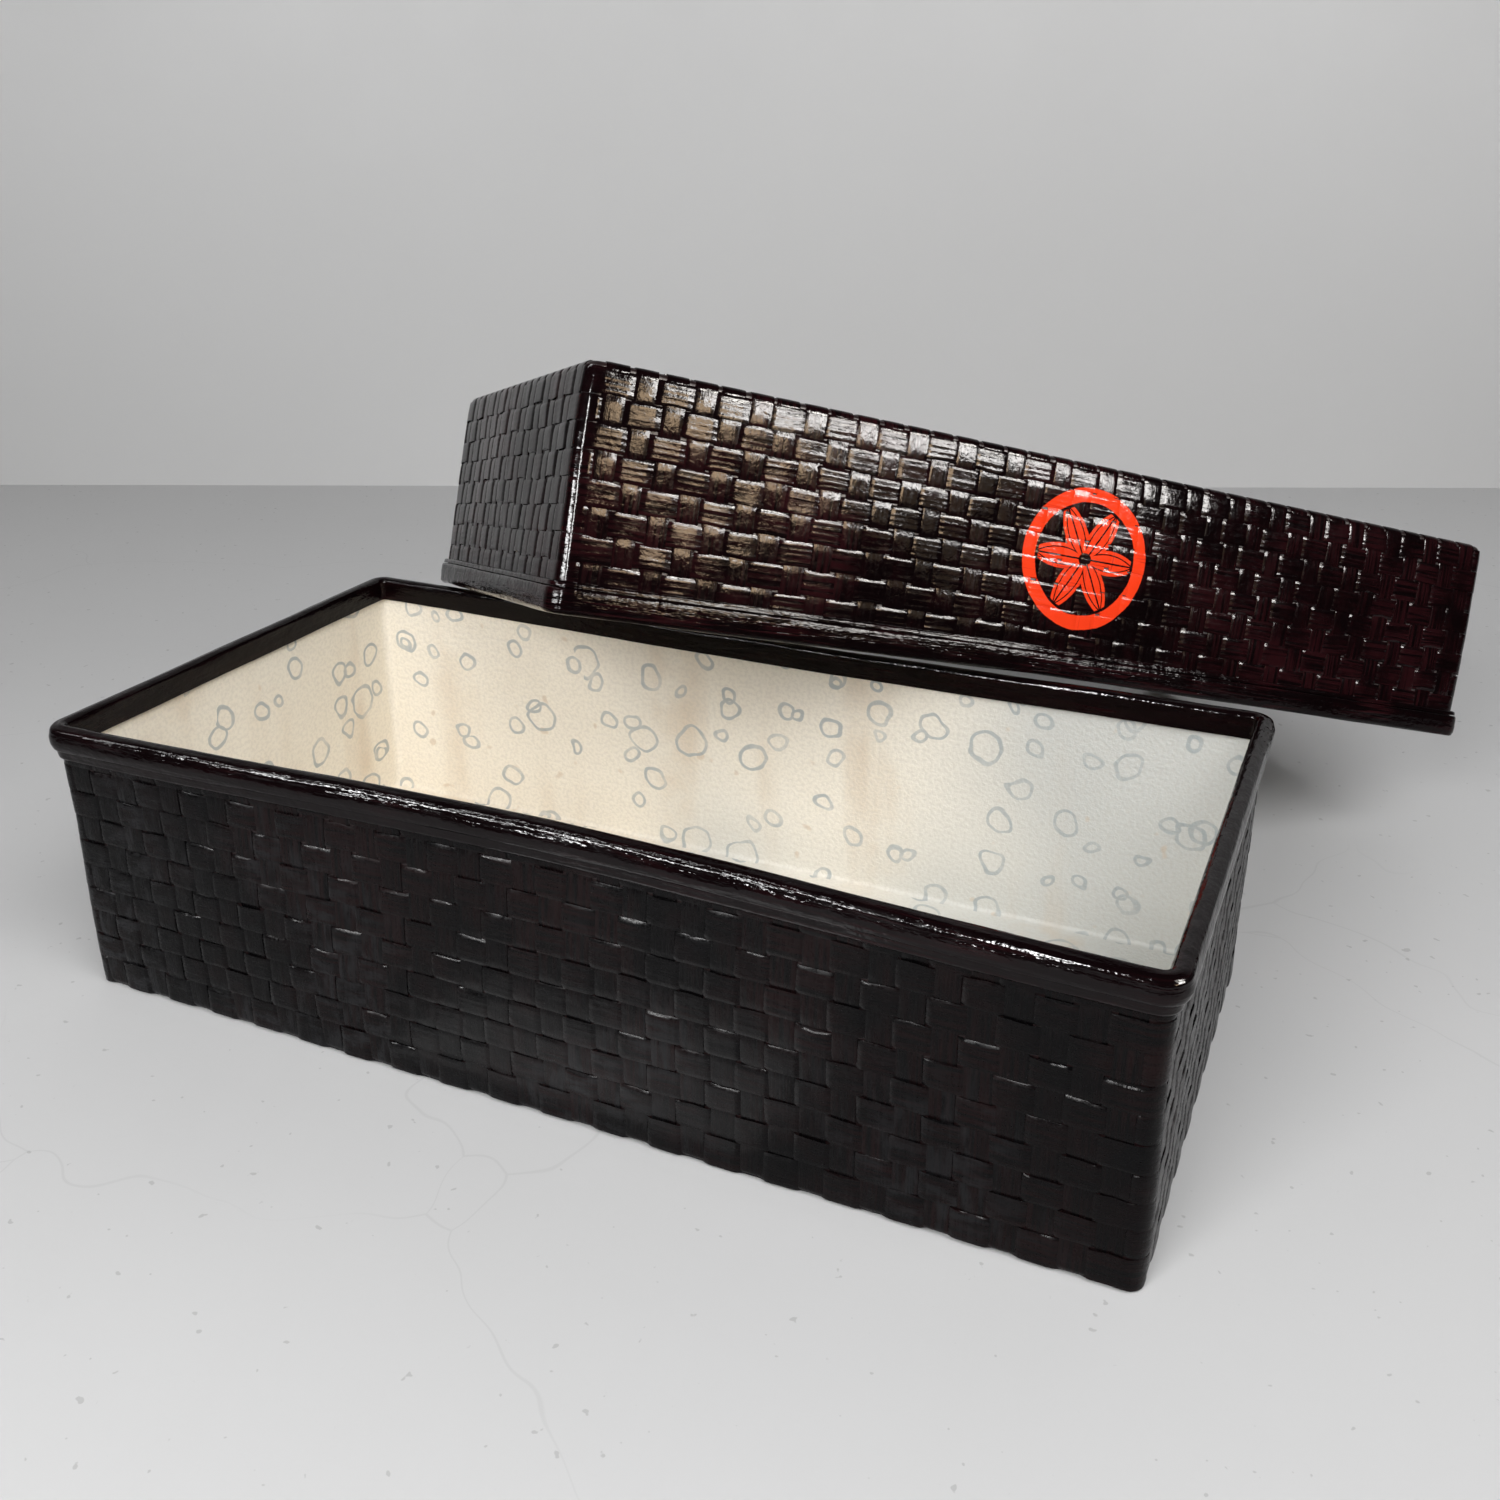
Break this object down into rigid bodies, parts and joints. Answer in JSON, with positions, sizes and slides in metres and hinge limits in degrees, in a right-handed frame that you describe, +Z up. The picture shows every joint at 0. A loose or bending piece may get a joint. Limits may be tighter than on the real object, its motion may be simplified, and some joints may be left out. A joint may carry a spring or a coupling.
{
  "type": "lidded storage basket",
  "caption": "Shallow rectangular storage basket of lacquered plain-woven split bamboo, paper-lined, with a full-depth lift-off lid that leans on its back rim.",
  "frame": {"origin": "centre of the base's underside, in the plane of the floor that it stands on", "axes": "+X along the base's long side to the right, -Y out of its front wall, +Z up; the lid leans on the back rim at +Y"},
  "size_m": [1.0066, 1.0822, 0.5025],
  "materials": {
    "lacquered_weave": "split bamboo under gloss lacquer, very dark maroon",
    "lacquered_rim": "gloss lacquer, near black",
    "lining_paper": "matte cream paper with a fine grain and a light blue-grey print"
  },
  "bodies": {
    "base": {"base_long_strips": "lacquered_weave", "base_cross_strips": "lacquered_weave", "base_front_uprights": "lacquered_weave", "base_right_uprights": "lacquered_weave", "base_back_uprights": "lacquered_weave", "base_left_uprights": "lacquered_weave", "base_band_1": "lacquered_weave", "base_band_2": "lacquered_weave", "base_band_3": "lacquered_weave", "base_band_4": "lacquered_weave", "base_band_5": "lacquered_weave", "base_band_6": "lacquered_weave", "base_band_7": "lacquered_weave", "base_band_8": "lacquered_weave", "base_band_9": "lacquered_weave", "base_band_10": "lacquered_weave", "base_outer_rim": "lacquered_rim", "base_rim_splint": "lacquered_rim", "base_inner_rim": "lacquered_rim", "base_rim_binding": "lacquered_rim", "base_floor_lining": "lining_paper", "base_front_lining": "lining_paper", "base_right_lining": "lining_paper", "base_back_lining": "lining_paper", "base_left_lining": "lining_paper", "base_corner_linings": "lining_paper"},
    "lid": {"lid_long_strips": "lacquered_weave", "lid_cross_strips": "lacquered_weave", "lid_front_uprights": "lacquered_weave", "lid_right_uprights": "lacquered_weave", "lid_back_uprights": "lacquered_weave", "lid_left_uprights": "lacquered_weave", "lid_band_1": "lacquered_weave", "lid_band_2": "lacquered_weave", "lid_band_3": "lacquered_weave", "lid_band_4": "lacquered_weave", "lid_band_5": "lacquered_weave", "lid_band_6": "lacquered_weave", "lid_band_7": "lacquered_weave", "lid_band_8": "lacquered_weave", "lid_outer_rim": "lacquered_rim", "lid_rim_splint": "lacquered_rim", "lid_inner_rim": "lacquered_rim", "lid_rim_binding": "lacquered_rim", "lid_top_lining": "lining_paper", "lid_front_lining": "lining_paper", "lid_right_lining": "lining_paper", "lid_back_lining": "lining_paper", "lid_left_lining": "lining_paper", "lid_corner_linings": "lining_paper"}
  },
  "joints": [
    {"name": "lid_lift", "type": "slide", "parent": "base", "child": "lid", "axis": [0, 0, 1], "range_m": [0, 0.3]}
  ]
}
